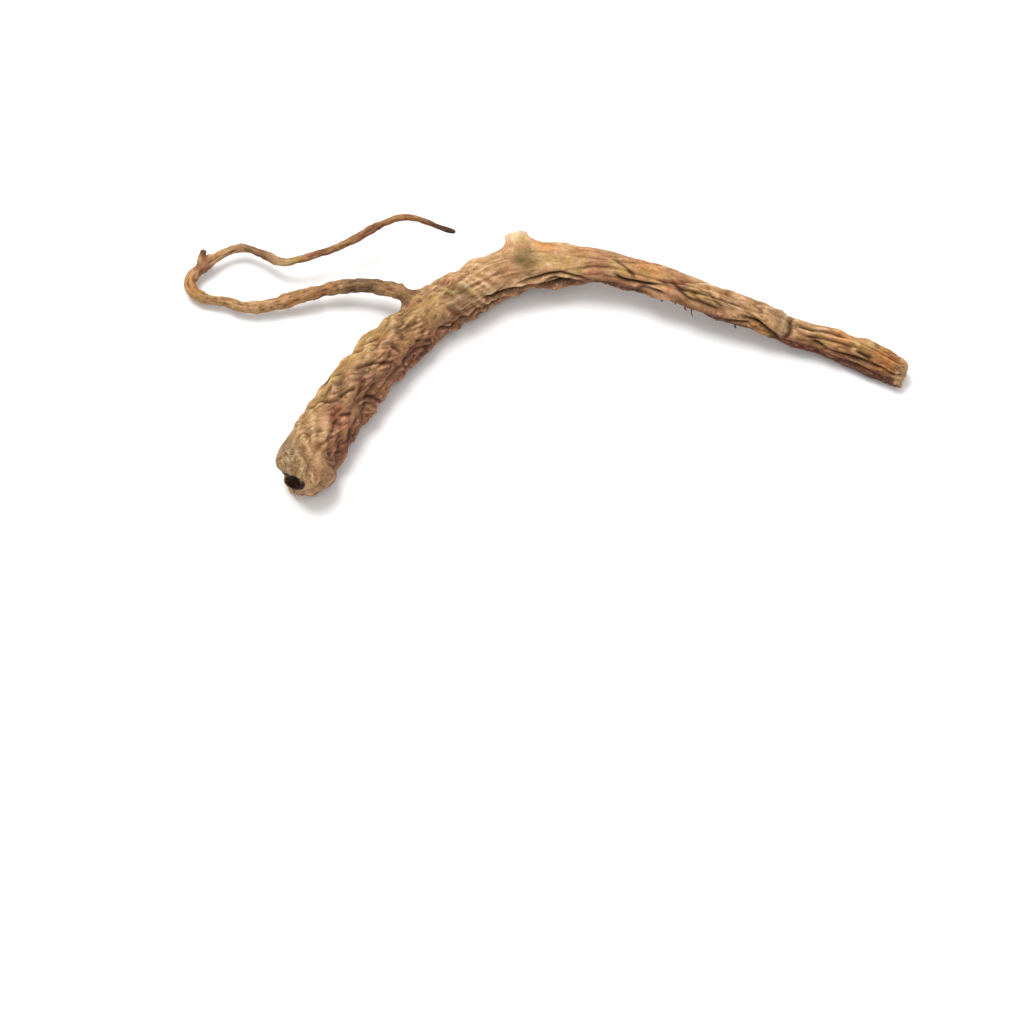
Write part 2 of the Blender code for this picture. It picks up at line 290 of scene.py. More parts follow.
class CentreLine:
    """A smooth curve through given places, read by the distance along it."""

    def __init__(self, places, steps=24):
        knots = np.array(places, float)
        knots = np.vstack([2 * knots[0] - knots[1], knots, 2 * knots[-1] - knots[-2]])
        share = (np.arange(steps) / steps)[:, None]
        runs = []
        for before, start, end, after in zip(knots, knots[1:], knots[2:], knots[3:]):
            bend = 2 * before - 5 * start + 4 * end - after
            twist = 3 * start - before - 3 * end + after
            runs.append(0.5 * (2 * start + (end - before) * share + bend * share**2 + twist * share**3))
        self.points = np.vstack([*runs, knots[-2]])
        steps_long = np.linalg.norm(np.diff(self.points[:, :3], axis=0), axis=1)
        self.reached = np.concatenate([[0], np.cumsum(steps_long)])
        self.length = self.reached[-1]
        self.tangents = np.gradient(self.points[:, :3], self.reached, axis=0)

    def radius(self, along):
        return np.interp(along, self.reached, self.points[:, 3])

    def skin_point(self, along, angle, radius):
        """Angle 0 is the top, and a quarter turn on is the right-hand side, seen along the line."""
        inside = np.clip(along, 0, self.length)
        centre, tangent = (
            np.stack([np.interp(inside, self.reached, values[:, axis]) for axis in range(3)], 1)
            for values in (self.points, self.tangents)
        )
        tangent /= np.linalg.norm(tangent, axis=1)[:, None]
        up = np.array((0, 0, 1)) - tangent * tangent[:, 2:]
        up /= np.linalg.norm(up, axis=1)[:, None]
        side = np.cross(tangent, up)
        centre = centre + tangent * (along - inside)[:, None]
        return centre + (up * np.cos(angle)[:, None] + side * np.sin(angle)[:, None]) * radius[:, None]


def fade(value, start, end):
    """0 up to start, 1 from end on, and smooth between."""
    share = np.clip((value - start) / (end - start), 0, 1)
    return share * share * (3 - 2 * share)


def grain(along, angle, rate, length, seed):
    """Smooth noise that closes on itself round the root and is stretched along it."""
    x, y, z = np.broadcast_arrays(rate * np.cos(angle), rate * np.sin(angle), along / length + seed)
    return np.array([noise.noise(place) for place in zip(x.tolist(), y.tolist(), z.tolist())])


def grains(along, angle, kinds):
    """Several grains added up, each with its height first."""
    return sum(height * grain(along, angle, *kind) for height, *kind in kinds)


def grain_over_break(angle, rate, seed):
    """The same noise over a broken end, where it changes with the place on the end alone."""
    return grain(np.zeros_like(angle), angle, rate, 1, seed)


def crests(along, angle, radius, width, length, seed):
    """Sharp crests with rounded furrows between: 1 on a crest, and down to about -1."""
    return 1 - 4 * np.minimum(np.abs(grain(along, angle, radius / width, length, seed)), 0.5)


def plump(off_crease):
    """How high a fold is at some way off its crease: steep at the crease, and flat on top."""
    return np.minimum(off_crease / FOLD_SHOULDER, 1) ** FOLD_PLUMPNESS - FOLD_MIDDLE


def pits(along, angle, radius):
    """1 in the middle of a pit, and 0 off it. Only some of the places that a pit could take have one."""
    x, y = (radius * turned / PIT_GAP for turned in (np.cos(angle), np.sin(angle)))
    z = along / PIT_GAP / PIT_STRETCH + PIT_SEED
    depth = np.zeros(len(along))
    for number, place in enumerate(zip(x.tolist(), y.tolist(), z.tolist())):
        distances, centres = noise.voronoi(place)
        if noise.cell(centres[0] * PIT_DRAW) < PIT_SHARE:
            depth[number] = max(0, 1 - (distances[0] * PIT_GAP / PIT_RADIUS) ** 2)
    return depth


def height_at(along, heights):
    return np.interp(along, *zip(*heights))


def turn_from(angle, degrees):
    """How far round the root a point is from a line of places, at most half a turn either way."""
    return (angle - math.radians(degrees) + math.pi) % (2 * math.pi) - math.pi


def line_mark(along, angle, radius, width, places):
    """1 along a line drawn through places on the skin, falling off at both sides and at its two ends."""
    best = np.zeros_like(along)
    count = len(places) - 1
    for number, ((from_along, from_turn), (to_along, to_turn)) in enumerate(zip(places, places[1:])):
        near = (along > from_along - MARK_REACH * width) & (along < to_along + MARK_REACH * width)
        across = turn_from(angle[near], from_turn) * radius[near]
        run_across = math.radians(to_turn - from_turn) * radius[near]
        run_along = to_along - from_along
        off_along = along[near] - from_along
        share = (off_along * run_along + across * run_across) / (run_along**2 + run_across**2)
        share = np.clip(share, 0, 1)
        off = np.hypot(off_along - run_along * share, across - run_across * share) / width
        whole = (number + share) / count
        risen = np.minimum(1, MARK_END + MARK_RISE * whole * (1 - whole))
        best[near] = np.maximum(best[near], np.exp(-off * off) * risen)
    return best


def spot(along, angle, radius, mark_along, mark_degrees, half_length, half_width):
    """1 in the middle of a spot on the skin, and falling off round it."""
    across = turn_from(angle, mark_degrees) * radius
    return np.exp(-(((along - mark_along) / half_length) ** 2) - (across / half_width) ** 2)


def slanted(along, angle):
    """The angle that the fibres keep to as they run along: aslant on the thick stretch."""
    return angle - SLANT_PER_MM * np.minimum(along, SLANT_UNTIL)


def folded(along, angle, radius):
    """The folds, furrows, cracks and pits: how high each point stands, and how dark it is painted in a
    crease, the creases' brown with painted shade.
    """
    lay = slanted(along, angle) + grains(along, angle, WAVERING)
    run = along - LONGER_SHARE * np.maximum(0, along - LONGER_PAST)
    calm = np.ones_like(along)
    for mark in CALM_SPOTS:
        calm *= 1 - CALM_LOSS * spot(along, angle, radius, *mark)
    uneven = np.clip(1 + UNEVENNESS * grain(along, angle, *UNEVEN_GRAIN), *UNEVEN_LIMITS) * calm
    height, crease = np.zeros_like(along), np.zeros_like(along)
    for width, length, sharpness, seed, heights in FOLDS:
        fold_height = height_at(along, heights) * uneven
        off_crease = np.abs(grain(run, lay, radius / width, length, seed))
        height += fold_height * plump(off_crease)
        darkness = np.minimum(1, fold_height / FULL_CREASE_HEIGHT)
        crease = np.maximum(crease, np.maximum(0, 1 - off_crease / sharpness) * darkness)
    height += height_at(along, CREST_HEIGHTS) * uneven * crests(run, lay, radius, *CREST)
    width, length, seed = CRACK
    crack = np.maximum(0, 1 - CRACK_SHARPNESS * np.abs(grain(along, lay, radius / width, length, seed)))
    pit = calm * pits(along, lay, radius) * fade(along, *PITS_FROM)
    height -= CRACK_DEPTH * crack + PIT_DEPTH * pit
    # Cracks and pits are painted dark as well: painted shade in them.
    crease = np.maximum(crease, np.maximum(CRACK_DARKNESS * crack * calm, pit))
    for width, depth, *places in FURROWS:
        furrow = line_mark(along, angle, radius, width, places)
        height -= depth * furrow
        darkness = LEAST_FURROW_DARKNESS + DARKER_BY_DEPTH * depth
        crease = np.maximum(crease, darkness * furrow**FURROW_DARKNESS_FALL)
    return height, crease


def tap_relief(along, angle, radius):
    """How far the skin stands off the plain radius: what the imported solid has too, then the fine skin."""
    thin = fade(along, *THICK_TO_THIN)
    lobes = np.cos(2 * angle + LOBE_TWIST * along) + np.cos(3 * angle - LOBE_TWIST * along + LOBE_TURN)
    warts = grain(along, angle + WART_SLOPE * along * (1 - thin), *WART_GRAIN)
    crossing = grain(along, angle + LONG_FURROW_TWIST * along, *LONG_FURROW_GRAIN)
    relief = lobes * LOBE_SHARE * radius + warts * WART_HEIGHT * (1 + (THIN_WART_SHARE - 1) * thin)
    kept = 1 - THICK_FURROW_LOSS * (1 - thin)
    kept *= 1 - SMOOTH_SPOT_LOSS * spot(along, angle, radius, *SMOOTH_SPOT)
    relief -= LONG_FURROW_DEPTH * kept * np.exp(-((crossing / LONG_FURROW_WIDTH) ** 2))
    for *mark, height in SWELLINGS:
        relief += height * spot(along, angle, radius, *mark)

    relief += folded(along, angle, radius)[0]
    low = fade(angle, *np.radians(LOW_SIDE))
    cover = np.clip(CRUMB_COVER + CRUMB_CONTRAST * grain(along, angle, *CRUMB_PATCHES), 0, 1)
    crumbs = crests(along, angle, radius, *CRUMB) * cover
    relief += CRUMB_HEIGHT * low * crumbs * fade(along, *CRUMBS_FROM)
    for width, height, *places in CORDS:
        relief += height * line_mark(along, angle, radius, width, places)
    ring = along / CROWN_RING + CROWN_WOBBLE * grain(along, angle, *CROWN_WOBBLE_GRAIN)
    crown = spot(along, angle, radius, *CROWN_SPOT)
    relief += crown * CROWN_RING_HEIGHT * np.sin(2 * math.pi * ring)
    return relief


def toothed(angle, teeth):
    """How far the teeth of a broken edge move it along."""
    moved = np.zeros_like(angle)
    for length, degrees, half_width in teeth:
        moved += length * np.exp(-((np.degrees(turn_from(angle, degrees)) / half_width) ** 2))
    return moved


def tap_skin(line, along, angle, share):
    """The points of the tap root's skin, with those near its ends moved along to make the breaks."""
    left = line.length - along
    radius = line.radius(along)
    shift = HEAD_SLANT * (1 - np.sin(angle)) / 2 * (1 - fade(along, *HEAD_SLANT_FADES)) * share
    for end_share, far, (rate, seed) in ((share, along, HEAD_RAGS), (1, left, TIP_RAGS)):
        rags = grain_over_break(angle, rate * share, seed)
        shift += RAG_HEIGHT * rags * (1 - fade(far, *RAGS_FADE)) * end_share
    torn = sum(
        amount * grain_over_break(angle, share * radius / size, seed) for size, amount, seed in TORN_FIBRES
    )
    head_torn = 1 - fade(along, *HEAD_TORN_FADES)
    tip_torn = TIP_TORN_SHARE * (1 - fade(left, *TIP_TORN_FADES))
    shift += TORN_HEIGHT * torn * np.maximum(head_torn, tip_torn)
    shift += toothed(angle, HEAD_TEETH) * (1 - fade(along, *HEAD_TEETH_FADE)) * share
    shift += toothed(angle, TIP_TEETH) * (1 - fade(left, *TIP_TEETH_FADE)) * share
    radius = radius + tap_relief(along, angle, radius)
    point = line.skin_point(along + shift, angle, radius * share)
    point[point[:, 2] < FLOOR_SNAP, 2] = 0
    return point


def ring_places(length, gaps, start_rounding, end_rounding, cap_rings):
    """Where each ring is along a line, with the share of the radius that it has on the rounded ends."""
    turns = [math.pi / 2 * (ring + 1) / (cap_rings + 1) for ring in range(cap_rings)]
    places = [(start_rounding * (1 - math.cos(turn)), math.sin(turn)) for turn in turns]
    along = start_rounding
    for until, gap in gaps:
        while along < min(until, length - end_rounding):
            places.append((along, 1.0))
            along += gap
    for turn in reversed(turns):
        places.append((length - end_rounding * (1 - math.cos(turn)), math.sin(turn)))
    return places


def wrapped_tube(name, line, sides, places, skin):
    """A cylinder ringed at the places given and wrapped round a line, with the points placed by a skin."""
    bpy.ops.object.select_all(action="DESELECT")
    bpy.ops.mesh.primitive_cylinder_add(
        vertices=sides, radius=1, depth=1, end_fill_type="TRIFAN", calc_uvs=False
    )
    tube = bpy.context.object
    tube.name = name
    bpy.ops.object.mode_set(mode="EDIT")
    bpy.ops.mesh.select_mode(type="EDGE")
    rings = len(places) - 1
    runs = math.ceil(rings / MOST_CUTS)
    for cuts in (math.ceil(rings / runs) - 1, runs - 1):
        bpy.ops.mesh.select_all(action="DESELECT")
        cage = bmesh.from_edit_mesh(tube.data)
        for edge in cage.edges:
            edge.select_set(abs(edge.verts[0].co.z - edge.verts[1].co.z) > SAME_HEIGHT)
        bmesh.update_edit_mesh(tube.data)
        if cuts:
            bpy.ops.mesh.subdivide(number_cuts=cuts)
    bpy.ops.object.mode_set(mode="OBJECT")
    plain = np.empty(len(tube.data.vertices) * 3)
    tube.data.vertices.foreach_get("co", plain)
    plain = plain.reshape(-1, 3)
    ring = (plain[:, 2] + 0.5) * rings
    along, share = (np.interp(ring, range(len(places)), values) for values in zip(*places))
    in_middle = np.hypot(plain[:, 0], plain[:, 1]) < 0.5
    share = np.where(in_middle, 0, share)
    angle = np.arctan2(plain[:, 1], plain[:, 0])
    tube.data.vertices.foreach_set("co", (skin(line, along, angle, share) * MM).ravel())
    bpy.ops.object.mode_set(mode="EDIT")
    bpy.ops.mesh.select_all(action="SELECT")
    bpy.ops.mesh.normals_make_consistent(inside=False)
    bpy.ops.object.mode_set(mode="OBJECT")
    points = np.array([vert.co for vert in tube.data.vertices])
    radius = line.radius(along)
    grown.append({"place": points, "along": along, "angle": angle, "share": share, "radius": radius})
    return tube


grown = []
tap_line = CentreLine(TAP_LINE)
tap_rings = ring_places(tap_line.length, TAP_GAPS, HEAD_ROUNDING, TIP_ROUNDING, TAP_CAP_RINGS)
root = wrapped_tube("dried_root", tap_line, TAP_SIDES, tap_rings, tap_skin)

# The side root: a thin root that left the tap root near the top of its arch and looped back as it dried.
# It is woody, ribbed along, and swells and pinches every few millimetres.
SIDE_LINE = (
    (-28.6, 9.1, 6.8, 4.6),
    (-31.6, 12.3, 8.2, 4.0),
    (-35.0, 15.4, 8.8, 3.1),
    (-38.4, 17.8, 8.6, 2.4),
    (-41.9, 19.4, 8.0, 2.05),
    (-47.2, 20.7, 7.0, 1.85),
    (-56.0, 20.9, 5.6, 1.8),
    (-66.7, 18.2, 4.2, 1.8),
    (-77.9, 16.2, 3.3, 1.5),
    (-84.8, 18.3, 2.9, 1.25),
    (-90.6, 19.7, 2.8, 1.55),
    (-94.2, 22.9, 2.9, 1.7),
    (-93.6, 26.5, 3.1, 1.6),
    (-90.8, 29.3, 3.4, 1.5),
    (-85.4, 33.1, 3.9, 1.1),
    (-80.6, 34.5, 4.4, 1.05),
    (-75.4, 32.3, 5.0, 1.1),
    (-70.2, 29.1, 6.0, 1.15),
    (-65.6, 29.0, 6.8, 0.95),
    (-54.6, 31.8, 8.8, 1.0),
    (-48.8, 35.0, 9.4, 1.2),
    (-41.4, 39.4, 9.6, 1.0),
    (-35.0, 40.9, 9.2, 0.85),
    (-26.0, 38.4, 7.4, 0.7),
    (-23.4, 37.9, 6.8, 0.55),
)
SIDE_SIDES = 26
SIDE_GAPS = ((260, 0.5),)
THIN_ROUNDING = 0.6
THIN_CAP_RINGS = 4

# Its relief: lumps and a rough skin, each a height and a grain, then ribs, pinches and one bud. Where the
# root is thicker than the relief's radius, the relief grows no higher.
SIDE_LUMPS = ((0.26, 0.8, 5, 8.2), (0.22, 0.1, 3, 2.9))
SIDE_ROUGH = ((0.13, 1.5, 1.6, 23.5),)
SIDE_RIB_GRAIN = (1.9, 7, 21.5)
SIDE_RIB_TWIST = 0.04
SIDE_RIB_HEIGHT = 0.2
SIDE_PINCH_GRAIN = (0.3, 1.7, 25.5)
SIDE_PINCH_SHARPNESS = 7
SIDE_PINCH_DEPTH = 0.1
SIDE_RELIEF_RADIUS = 1.5
SIDE_BUD = (82.8, -75, 0.8, 0.8)
SIDE_BUD_HEIGHT = 0.9


def side_furrow(along, angle):
    """0 in a furrow between two ribs, and rising away from it."""
    return np.abs(grain(along, angle + SIDE_RIB_TWIST * along, *SIDE_RIB_GRAIN))


def side_skin(line, along, angle, share):
    """The points of the side root's skin, and of the twig's."""
    radius = line.radius(along)
    lumps = 1 + grains(along, angle, SIDE_LUMPS)
    ribs = SIDE_RIB_HEIGHT * plump(side_furrow(along, angle))
    rough = grains(along, angle, SIDE_ROUGH)
    off_pinch = SIDE_PINCH_SHARPNESS * np.abs(grain(along, angle, *SIDE_PINCH_GRAIN))
    pinch = SIDE_PINCH_DEPTH * np.maximum(0, 1 - off_pinch)
    relief = np.minimum(radius, SIDE_RELIEF_RADIUS) * (ribs + rough - pinch)
    relief += SIDE_BUD_HEIGHT * spot(along, angle, radius, *SIDE_BUD)
    return line.skin_point(along, angle, (radius * lumps + relief) * share)


side_line = CentreLine(SIDE_LINE)
side_rings = ring_places(side_line.length, SIDE_GAPS, THIN_ROUNDING, THIN_ROUNDING, THIN_CAP_RINGS)
side_root = wrapped_tube("side_root", side_line, SIDE_SIDES, side_rings, side_skin)

# The twig: a short dead rootlet that still stands on the side root's loop. It is woody and ribbed like the
# side root that it grew from.
TWIG_LINE = (
    (-91.1, 28.6, 3.2, 1.6),
    (-91.5, 31.0, 4.2, 1.05),
    (-90.8, 33.4, 5.3, 0.8),
)
TWIG_SIDES = 16
TWIG_GAPS = ((20, 0.4),)

twig_line = CentreLine(TWIG_LINE)
twig_rings = ring_places(twig_line.length, TWIG_GAPS, THIN_ROUNDING, THIN_ROUNDING, THIN_CAP_RINGS)
twig = wrapped_tube("twig", twig_line, TWIG_SIDES, twig_rings, side_skin)

# The stub: what is left of a branch that broke off on top of the arch. It is lumpy and wrinkled like the tap
# root that it grew from, and ends in a flat, pale, torn break. Its lumps are a height and a grain.
STUB_LINE = (
    (-5.2, 26.0, 7.4, 4.2),
    (-6.0, 29.0, 9.4, 3.4),
    (-6.7, 31.6, 10.9, 2.95),
    (-7.2, 34.2, 12.2, 3.1),
)
STUB_SIDES = 72
STUB_GAPS = ((20, 0.36),)
STUB_CAP_RINGS = 9
STUB_LUMPS = ((0.22, 1.2, 4, 6.6),)
STUB_WRINKLE = (0.8, 4.5, 33.3)
STUB_WRINKLE_HEIGHT = 0.1
STUB_TORN_SIZE = 1.2
STUB_TORN_SEED = 27.5
STUB_TORN_HEIGHT = 0.5
STUB_TORN_FADES = (0.5, 2)


def stub_skin(line, along, angle, share):
    """The points of the stub's skin, with those on its break moved along."""
    radius = line.radius(along)
    lumps = 1 + grains(along, angle, STUB_LUMPS)
    wrinkles = STUB_WRINKLE_HEIGHT * crests(along, angle, radius, *STUB_WRINKLE)
    torn = grain_over_break(angle, share * radius / STUB_TORN_SIZE, STUB_TORN_SEED)
    torn = torn * (1 - fade(line.length - along, *STUB_TORN_FADES))
    return line.skin_point(along + STUB_TORN_HEIGHT * torn, angle, (radius * lumps + wrinkles) * share)


stub_line = CentreLine(STUB_LINE)
stub_rings = ring_places(stub_line.length, STUB_GAPS, THIN_ROUNDING, THIN_ROUNDING, STUB_CAP_RINGS)
stub = wrapped_tube("stub", stub_line, STUB_SIDES, stub_rings, stub_skin)

# The rootlets: dead hair roots that broke off short along the tap root's low side. One still hangs. They
# are under a millimetre thick, bent, and sunk into the skin. For each: millimetres from the head, degrees
# from the top, length, radius, and how far it leans towards the tip.
ROOTLETS = (
    (139.5, 88, 3.0, 0.24, 0.5),
    (131.8, 103, 0.8, 0.36, -0.9),
    (134.9, 92, 0.6, 0.5, 0.8),
    (137.6, 104, 0.9, 0.3, 1.1),
    (147.2, 98, 0.7, 0.4, -0.9),
    (151.6, 106, 0.9, 0.36, 0.8),
    (22.3, 96, 0.7, 0.5, 0.8),
    (39.1, 104, 0.8, 0.44, -0.8),
)
ROOTLET_SIDES = 6
ROOTLET_GAPS = ((20, 0.5),)
ROOTLET_ROUNDING = 0.1
ROOTLET_CAP_RINGS = 2
ROOTLET_TAPER = (1.2, 0.8, 0.4)

# A rootlet's foot is sunk to this share of the tap root's radius. Its middle and its end stand off the skin
# by these shares of its length, and its middle has this share of its lean. Its centre line stays above the
# table by a little over its radius.
ROOTLET_SUNK = 0.75
ROOTLET_REACH = (0.45, 0.9)
ROOTLET_MIDDLE_LEAN = 0.4
ROOTLET_CLEARANCE = 1.2


def rootlet_skin(line, along, angle, share):
    return line.skin_point(along, angle, line.radius(along) * share)


def rootlet_at(along, degrees, length, radius, lean):
    """A rootlet that stands out from the tap root's skin and leans along it."""
    places = np.array((along, along + ROOTLET_MIDDLE_LEAN * lean * length, along + lean * length))
    skin_radius = tap_line.radius(along)
    reach = np.array((ROOTLET_SUNK * skin_radius, *(skin_radius + share * length for share in ROOTLET_REACH)))
    points = tap_line.skin_point(places, np.radians(np.full(3, degrees)), reach)
    points[:, 2] = np.maximum(points[:, 2], ROOTLET_CLEARANCE * radius)
    line = CentreLine([(*point, radius * share) for point, share in zip(points, ROOTLET_TAPER)])
    rings = ring_places(line.length, ROOTLET_GAPS, ROOTLET_ROUNDING, ROOTLET_ROUNDING, ROOTLET_CAP_RINGS)
    return wrapped_tube("rootlet", line, ROOTLET_SIDES, rings, rootlet_skin)


rootlets = [rootlet_at(*rootlet) for rootlet in ROOTLETS]
bpy.ops.object.select_all(action="DESELECT")
for rootlet in rootlets:
    rootlet.select_set(True)
bpy.context.view_layer.objects.active = rootlets[0]
bpy.ops.object.join()

# The whole root: all these grew as one, so the branches are fused into the tap root, and the head is
# hollowed where its heart has rotted away. The hollow is a lumpy flattened ball, in millimetres. Each of its
# lumps is a height and a rate. A small spot of painted shade lies on the hollow's rim.
HOLLOW_AT = (-65.6, -39.6, 9.0)
HOLLOW_SIZE = (5.0, 6.5, 1.9)
HOLLOW_TURN = (math.radians(-60), 0, math.radians(-12))
HOLLOW_LUMPS = ((0.3, 1.7), (0.12, 6))
HOLLOW_SEGMENTS = 96
HOLLOW_RINGS = 60
RIM_SHADE_SPOT = (-66.0, -40.6, 5.4)
RIM_SHADE_RADIUS = 1.8

# The branches in the order that they were made. The rootlets are the last of them.
TAP, SIDE, TWIG, STUB, FIRST_ROOTLET = range(5)

# How far the smoothing reaches from each branch's seam, in millimetres: full in its core, and then fading.
SEAM_REACH = {TAP: 0, SIDE: 3.4, TWIG: 0.5, STUB: 2.2}
SEAM_CORE = 0.3
SEAM_ROUNDS = 110
SMOOTHING = 0.6

# One light smoothing takes the steps out of the tap root's creases, which run aslant across the mesh. Their
# dark lines are smoothed with them, and regain some of the depth that this takes.
STEP_SMOOTHING = 0.55
CREASE_REGAINED = 1.12

bpy.ops.object.select_all(action="DESELECT")
bpy.ops.mesh.primitive_uv_sphere_add(segments=HOLLOW_SEGMENTS, ring_count=HOLLOW_RINGS, radius=1)
hollow = bpy.context.object
for vert in hollow.data.vertices:
    lumps = 1 + sum(height * noise.noise(vert.co * rate) for height, rate in HOLLOW_LUMPS)
    vert.co = Vector([size * value * lumps * MM for size, value in zip(HOLLOW_SIZE, vert.co)])
hollow.location = Vector(HOLLOW_AT) * MM
hollow.rotation_euler = HOLLOW_TURN
hollow_place = Matrix.LocRotScale(hollow.location, hollow.rotation_euler, None)


def cut_with(piece, other, operation):
    bpy.ops.object.select_all(action="DESELECT")
    bpy.context.view_layer.objects.active = piece
    piece.select_set(True)
    change = piece.modifiers.new("change", "BOOLEAN")
    change.operation = operation
    change.solver = "MANIFOLD"
    change.object = other
    bpy.ops.object.modifier_apply(modifier="change")
    bpy.data.objects.remove(other)


def nearest_to(places):
    """For each point of the root, the number of the nearest place, and how far off it is in millimetres."""
    tree = kdtree.KDTree(len(places))
    for number, place in enumerate(places):
        tree.insert(place, number)
    tree.balance()
    found = [tree.find(vert.co)[1:] for vert in root.data.vertices]
    numbers, distances = zip(*found)
    return np.array(numbers), np.array(distances) / MM


def both_ends(mesh):
    """The edges' two ends, each edge taken both ways."""
    ends = np.empty(len(mesh.edges) * 2, int)
    mesh.edges.foreach_get("vertices", ends)
    start, end = ends.reshape(-1, 2).T
    return np.concatenate([start, end]), np.concatenate([end, start])


def smoothed(values, start, end, rounds, strength=SMOOTHING):
    """The values after each point's has moved towards the mean of its neighbours', a number of times."""
    neighbours = np.bincount(start, minlength=len(values))[:, None]
    for _ in range(rounds):
        mean = np.stack([np.bincount(start, column[end], len(values)) for column in values.T], 1)
        values = values + strength * (mean / neighbours - values)
    return values


cut_with(root, hollow, "DIFFERENCE")
for branch in (side_root, stub, twig, rootlets[0]):
    cut_with(root, branch, "UNION")

# Which branch each point grew from, how far along and round it the point lies, and how far it is from a seam,
# where the branches are smoothed into each other.
origin, _ = nearest_to(np.concatenate([branch["place"] for branch in grown]))
branch_of = np.repeat(range(len(grown)), [len(branch["place"]) for branch in grown])[origin]
along, angle, share, radius = (
    np.concatenate([branch[name] for branch in grown])[origin]
    for name in ("along", "angle", "share", "radius")
)
on_tap, on_stub = branch_of == TAP, branch_of == STUB
on_side = ~on_tap & ~on_stub
place = np.array([vert.co for vert in root.data.vertices])
start, end = both_ends(root.data)
seam_of = np.maximum(branch_of[start], branch_of[end])
seam = (branch_of[start] != branch_of[end]) & (seam_of < FIRST_ROOTLET)
nearest, off_seam = nearest_to(place[start[seam]])
reach = np.array([SEAM_REACH[branch] for branch in seam_of[seam]])[nearest]
softness = (SMOOTHING * (1 - fade(off_seam, SEAM_CORE * reach, reach)))[:, None]
step_softness = (STEP_SMOOTHING * on_tap)[:, None]
place = smoothed(place, start, end, 1, step_softness)
place = smoothed(place, start, end, SEAM_ROUNDS, softness)
root.data.vertices.foreach_set("co", np.clip(place, *cad_box).ravel())
bpy.ops.object.select_all(action="DESELECT")
root.select_set(True)
bpy.context.view_layer.objects.active = root
bpy.ops.object.shade_smooth()

# The skin: dry and matt, with ochre crests under a painted highlight, brown furrows deepened with painted
# shade and purple-brown painted shade low on the sides. Each point knows how far it stands out from its
# surroundings, near and wide, and which stretch of the root it lies on.
CREST_ROUNDS = 7
CREST_HEIGHT = 0.14
DEEP_ROUNDS = 70
DEEP_HEIGHT = 0.8
# Painted shade on the tap root's low side: the turn that it centres on in degrees, how it fades in round the
# root, and from where along.
UNDERSIDE_TURN = 140
UNDERSIDE_FADES = (0.1, 0.9)
UNDERSIDE_FROM = (8, 20)
# How wide the side root's creases are painted dark, and how the painted crease shade fades in away from the
# seams.
SIDE_CREASE_WIDTH = 0.12
CREASES_FROM_SEAM = (0.2, 1.5)

# How much paler or darker the skin is along the tap root and the side root, and on the other branches.
PALE = (
    (0, -0.08), (9, -0.06), (20, 0), (55, 0), (70, -0.02), (82, 0.05), (104, 0.07), (110, 0.03), (116, 0),
    (134, 0), (140, 0.04), (158, 0), (164, -0.04), (172, 0.08), (180, 0.08), (188, 0), (199, -0.14),
)
SIDE_PALE = (
    (0, -0.16), (20, -0.24), (36, -0.18), (44, -0.1), (60, -0.02), (78, -0.04), (92, 0.1), (112, 0.1),
    (116, -0.05), (142, -0.08), (147, -0.22), (154, -0.4),
)
STUB_PALE = 0.12
STUB_TOP_PALE = 0.08
STUB_TOP_FROM = (3.5, 7.5)
TWIG_TIP_PALE = -0.3
TWIG_TIP_FROM = (2.5, 5)
ROOTLET_PALE = -0.36

# Low spots on the tap root that hardly get light and are darker: a spot and an amount.
DARK_SPOTS = (
    (96, 92, 13, 3.2, 0.22),
    (149, 102, 7, 2.8, 0.3),
    (183, 108, 14, 3, 0.26),
    (120, 108, 16, 3, 0.16),
)

# Blushes by tint, and where each lies on the tap root: a spot and a strength.
BLUSHES = {
    "purple": (
        (22, 34, 6, 6, 0.9),
        (33, 50, 9, 7, 0.8),
        (44, 62, 10, 7, 0.8),
        (52, 74, 12, 6, 0.8),
        (18, 80, 16, 6, 0.9),
        (68, 62, 7, 4, 0.7),
        (87, 18, 9, 4, 0.5),
        (113, 30, 4, 7, 0.55),
        (118, -34, 4, 3, 0.5),
        (134.5, 22, 3.5, 6, 0.7),
        (150, -40, 8, 3, 0.4),
        (149, 98, 6, 3, 1.0),
        (176, 112, 22, 5, 1.0),
        (144, 104, 12, 5, 0.9),
        (117, 92, 10, 4, 0.8),
    ),
    "olive": (
        (36, -48, 26, 5, 0.8),
        (60, -10, 9, 7, 0.6),
        (103, 18, 6, 4, 0.6),
        (119.5, 30, 3, 2.4, 0.9),
        (142, 30, 8, 3, 0.5),
        (174, 50, 4, 2.5, 0.9),
        (186, 30, 5, 3, 1.0),
        (158, 84, 6, 3, 0.6),
    ),
    "orange": (
        (98.5, -40, 3, 2.6, 0.9),
        (126, -6, 8, 5, 0.6),
        (108, -30, 5, 3, 0.5),
        (193, 22, 5, 6, 1.0),
        (179, 4, 5, 4, 0.6),
        (157, 52, 4, 2, 0.5),
    ),
    "grey": (
        (3, -40, 5, 8, 1.0),
        (72, 28, 4.5, 4, 0.9),
        (163, -20, 2.4, 8, 0.7),
        (30, 0, 8, 3, 0.4),
    ),
}

# The same along the side root: along, half length, strength.
SIDE_BLUSHES = {
    "purple": ((80, 3, 0.9), (96, 8, 0.7), (114, 4, 1.0), (129, 7, 0.8), (150, 5, 1.0)),
    "olive": ((14, 6, 0.5), (66, 10, 0.4), (108, 4, 0.5)),
    "orange": ((38, 10, 0.4), (72, 5, 0.5), (140, 4, 0.5)),
    "grey": ((24, 5, 1.0), (98, 10, 0.7), (151, 4, 1.0)),
}

# A mottled olive and grey patch lies over the stub's foot: its middle and its half width, in millimetres.
STUB_FOOT = (-4.8, 25.6, 13.0)
STUB_FOOT_WIDTH = 3.4
STUB_FOOT_TINTS = ("olive", "grey")
# Painted shade darkens the stub's foot a little.
STUB_FOOT_SHADE = 0.1
